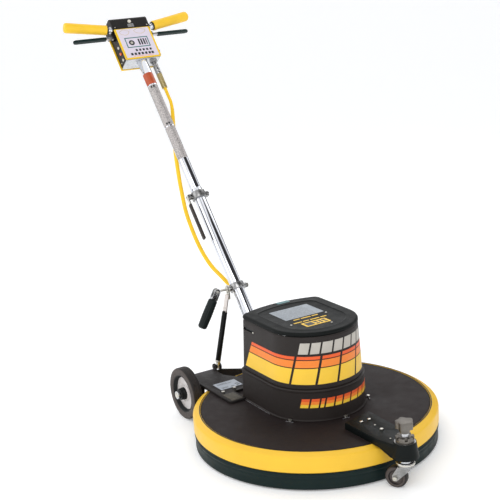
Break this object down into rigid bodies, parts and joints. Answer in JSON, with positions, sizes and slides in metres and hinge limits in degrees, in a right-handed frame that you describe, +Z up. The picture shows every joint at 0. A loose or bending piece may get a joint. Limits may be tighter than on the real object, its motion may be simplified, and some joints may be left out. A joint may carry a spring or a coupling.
{
  "type": "high speed floor burnisher",
  "caption": "High speed floor burnisher with a round bumpered deck, upright motor cowl, rear wheels, front caster and a telescoping twin-grip handle.",
  "frame": {"origin": "on the floor, under the centre of the polishing pad", "axes": "+Z up, -Y towards the front caster, +Y back towards the user's handle, +X along the wheel axle"},
  "size_m": [0.762, 1.6481, 1.2701],
  "materials": {
    "deck_paint": "fine textured charcoal powder coat",
    "bumper_yellow": "moulded yellow band",
    "skirt_rubber": "soft black moulded rubber",
    "black_casting": "black enamel",
    "carriage_black": "black powder coat",
    "zinc": "zinc plated",
    "foil_label": "printed foil",
    "grit_strip": "speckled anti-slip strip",
    "bright_steel": "turned bright steel",
    "cowl_plastic": "fine grain moulding",
    "motor_paint": "grey enamel",
    "bell_aluminium": "die cast",
    "lamination_steel": "stacked laminations",
    "copper_windings": "varnished copper wire",
    "bearing_steel": "ground steel",
    "can_aluminium": "drawn cans",
    "pad_fibre": "non-woven polishing fibre",
    "driver_plastic": "moulded driver",
    "rotor_aluminium": "cast cage",
    "tyre_rubber": "dark rubber",
    "hub_silver": "silver painted pressing",
    "cast_grey": "as cast",
    "cast_nut": "zinc flake",
    "fork_grey": "grey zinc",
    "caster_tread": "hard black rubber",
    "chrome_tube": "bright chrome",
    "clamp_metal": "dark zinc casting",
    "lead_yellow": "yellow cable jacket",
    "lever_black": "black dipped sleeve",
    "grip_black": "ribbed black rubber",
    "strut_black": "black tube with bright ends",
    "box_black": "black moulded case",
    "satin_aluminium": "satin anodised",
    "plate_yellow": "yellow enamel",
    "grip_yellow": "yellow moulded vinyl",
    "gland_nickel": "nickel plated",
    "mesh_wire": "woven wire strain relief",
    "paddle_black": "black moulded paddle",
    "button_red": "red-orange",
    "button_white": "off-white"
  },
  "bodies": {
    "base": {"deck_shell": "deck_paint", "bumper": "bumper_yellow", "skirt": "skirt_rubber", "caster_arm": "black_casting", "carriage_plate": "carriage_black", "machine_screws": "zinc", "spec_plate": "foil_label", "tread_strips": "grit_strip", "axle": "bright_steel", "handle_bracket": "carriage_black", "pivot_pin": "bright_steel", "cowl_lower": "cowl_plastic", "cowl_upper": "cowl_plastic", "cowl_cap": "cowl_plastic", "motor_frame": "motor_paint", "end_bells": "bell_aluminium", "stator_core": "lamination_steel", "stator_windings": "copper_windings", "motor_bearings": "bearing_steel", "run_capacitors": "can_aluminium"},
    "pad_assembly": {"pad": "pad_fibre", "pad_driver": "driver_plastic", "motor_shaft": "bright_steel", "motor_rotor": "rotor_aluminium", "cooling_fan": "driver_plastic"},
    "wheel_left": {"wheel_tyre_left": "tyre_rubber", "wheel_hub_left": "hub_silver"},
    "wheel_right": {"wheel_tyre_right": "tyre_rubber", "wheel_hub_right": "hub_silver"},
    "caster_stem": {"caster_stem": "bright_steel"},
    "adjuster_knob": {"adjuster_knob": "cast_grey"},
    "lock_nut": {"lock_nut": "cast_nut"},
    "caster_fork": {"caster_fork": "fork_grey", "caster_axle": "zinc"},
    "caster_wheel": {"caster_wheel": "caster_tread"},
    "handle_lower": {"lower_tube": "chrome_tube", "handle_yoke": "bright_steel", "tube_clamp": "clamp_metal", "motor_lead": "lead_yellow"},
    "clamp_lever": {"tube_clamp_lever": "lever_black"},
    "strut_collar": {"strut_collar": "clamp_metal", "collar_bolt": "zinc"},
    "cam_lever": {"cam_lever": "bright_steel", "cam_grip": "grip_black"},
    "strut": {"strut_rod": "strut_black"},
    "handle_upper": {"upper_tube": "chrome_tube", "box_body": "box_black", "box_base": "satin_aluminium", "box_plates": "plate_yellow", "top_cover": "box_black", "handlebar": "chrome_tube", "grips": "grip_yellow", "cable_glands": "gland_nickel", "mesh_grip": "mesh_wire", "lamps": "button_white"},
    "switch_left": {"switch_lever_left": "paddle_black"},
    "switch_right": {"switch_lever_right": "paddle_black"},
    "reset_button": {"reset_button": "button_red"},
    "lock_button": {"lock_button": "button_white"}
  },
  "joints": [
    {"name": "pad_spin", "type": "hinge", "parent": "base", "child": "pad_assembly", "pos_m": [0, 0, 0.05], "axis": [0, 0, 1], "continuous": true},
    {"name": "wheel_spin_left", "type": "hinge", "parent": "base", "child": "wheel_left", "pos_m": [-0.2455, 0.393, 0.086], "axis": [1, 0, 0], "continuous": true},
    {"name": "wheel_spin_right", "type": "hinge", "parent": "base", "child": "wheel_right", "pos_m": [0.2455, 0.393, 0.086], "axis": [1, 0, 0], "continuous": true},
    {"name": "caster_height", "type": "slide", "parent": "base", "child": "caster_stem", "axis": [0, 0, 1], "range_m": [-0.005, 0.005]},
    {"name": "knob_turn", "type": "hinge", "parent": "caster_stem", "child": "adjuster_knob", "pos_m": [0, -0.446, 0.19], "axis": [0, 0, 1], "range_deg": [-365, 365]},
    {"name": "lock_nut_turn", "type": "hinge", "parent": "base", "child": "lock_nut", "pos_m": [0, -0.446, 0.15], "axis": [0, 0, 1], "range_deg": [-30, 30]},
    {"name": "caster_swivel", "type": "hinge", "parent": "caster_stem", "child": "caster_fork", "pos_m": [0, -0.446, 0.07], "axis": [0, 0, 1], "continuous": true},
    {"name": "caster_roll", "type": "hinge", "parent": "caster_fork", "child": "caster_wheel", "pos_m": [-0.01491, -0.4247, 0.032], "axis": [0.8192, 0.5736, 0], "continuous": true},
    {"name": "handle_tilt", "type": "hinge", "parent": "base", "child": "handle_lower", "pos_m": [0, 0.258, 0.165], "axis": [1, 0, 0], "range_deg": [-12, 12]},
    {"name": "collar_slide", "type": "slide", "parent": "handle_lower", "child": "strut_collar", "axis": [0, 0.6293, 0.7771], "range_m": [-0.048, 0.048]},
    {"name": "strut_swing", "type": "hinge", "parent": "base", "child": "strut", "pos_m": [-0.098, 0.439, 0.128], "axis": [1, 0, 0], "range_deg": [-17, 17]},
    {"name": "handle_telescope", "type": "slide", "parent": "handle_lower", "child": "handle_upper", "axis": [0, 0.6293, 0.7771], "range_m": [-0.04, 0.12]},
    {"name": "clamp_lever_open", "type": "hinge", "parent": "handle_lower", "child": "clamp_lever", "pos_m": [-0.038, 0.66643, 0.66937], "axis": [0, 0.7771, -0.6293], "range_deg": [0, 100]},
    {"name": "cam_lever_open", "type": "hinge", "parent": "strut_collar", "child": "cam_lever", "pos_m": [-0.08, 0.43943, 0.38905], "axis": [0, 1, 0], "range_deg": [0, 70]},
    {"name": "left_lever_squeeze", "type": "hinge", "parent": "handle_upper", "child": "switch_left", "pos_m": [-0.076, 1.09376, 1.20025], "axis": [0, 0.7771, -0.6293], "range_deg": [0, 8], "stiffness_Nm_per_rad": 2, "springref_deg": -5.73},
    {"name": "right_lever_squeeze", "type": "hinge", "parent": "handle_upper", "child": "switch_right", "pos_m": [0.076, 1.09376, 1.20025], "axis": [0, -0.7771, 0.6293], "range_deg": [0, 8], "stiffness_Nm_per_rad": 2, "springref_deg": -5.73},
    {"name": "reset_press", "type": "slide", "parent": "handle_upper", "child": "reset_button", "axis": [1, 0, 0], "range_m": [0, 0.003], "stiffness_N_per_m": 300, "springref_m": -0.002},
    {"name": "lock_press", "type": "slide", "parent": "handle_upper", "child": "lock_button", "axis": [0, 0.7771, -0.6293], "range_m": [0, 0.003], "stiffness_N_per_m": 300, "springref_m": -0.002}
  ],
  "couplings": [
    {"joint": "collar_slide", "follows": "handle_tilt", "m_per_rad": -0.2275},
    {"joint": "strut_swing", "follows": "handle_tilt", "ratio": 1.41},
    {"joint": "knob_turn", "follows": "caster_height", "rad_per_m": 1256.6}
  ]
}
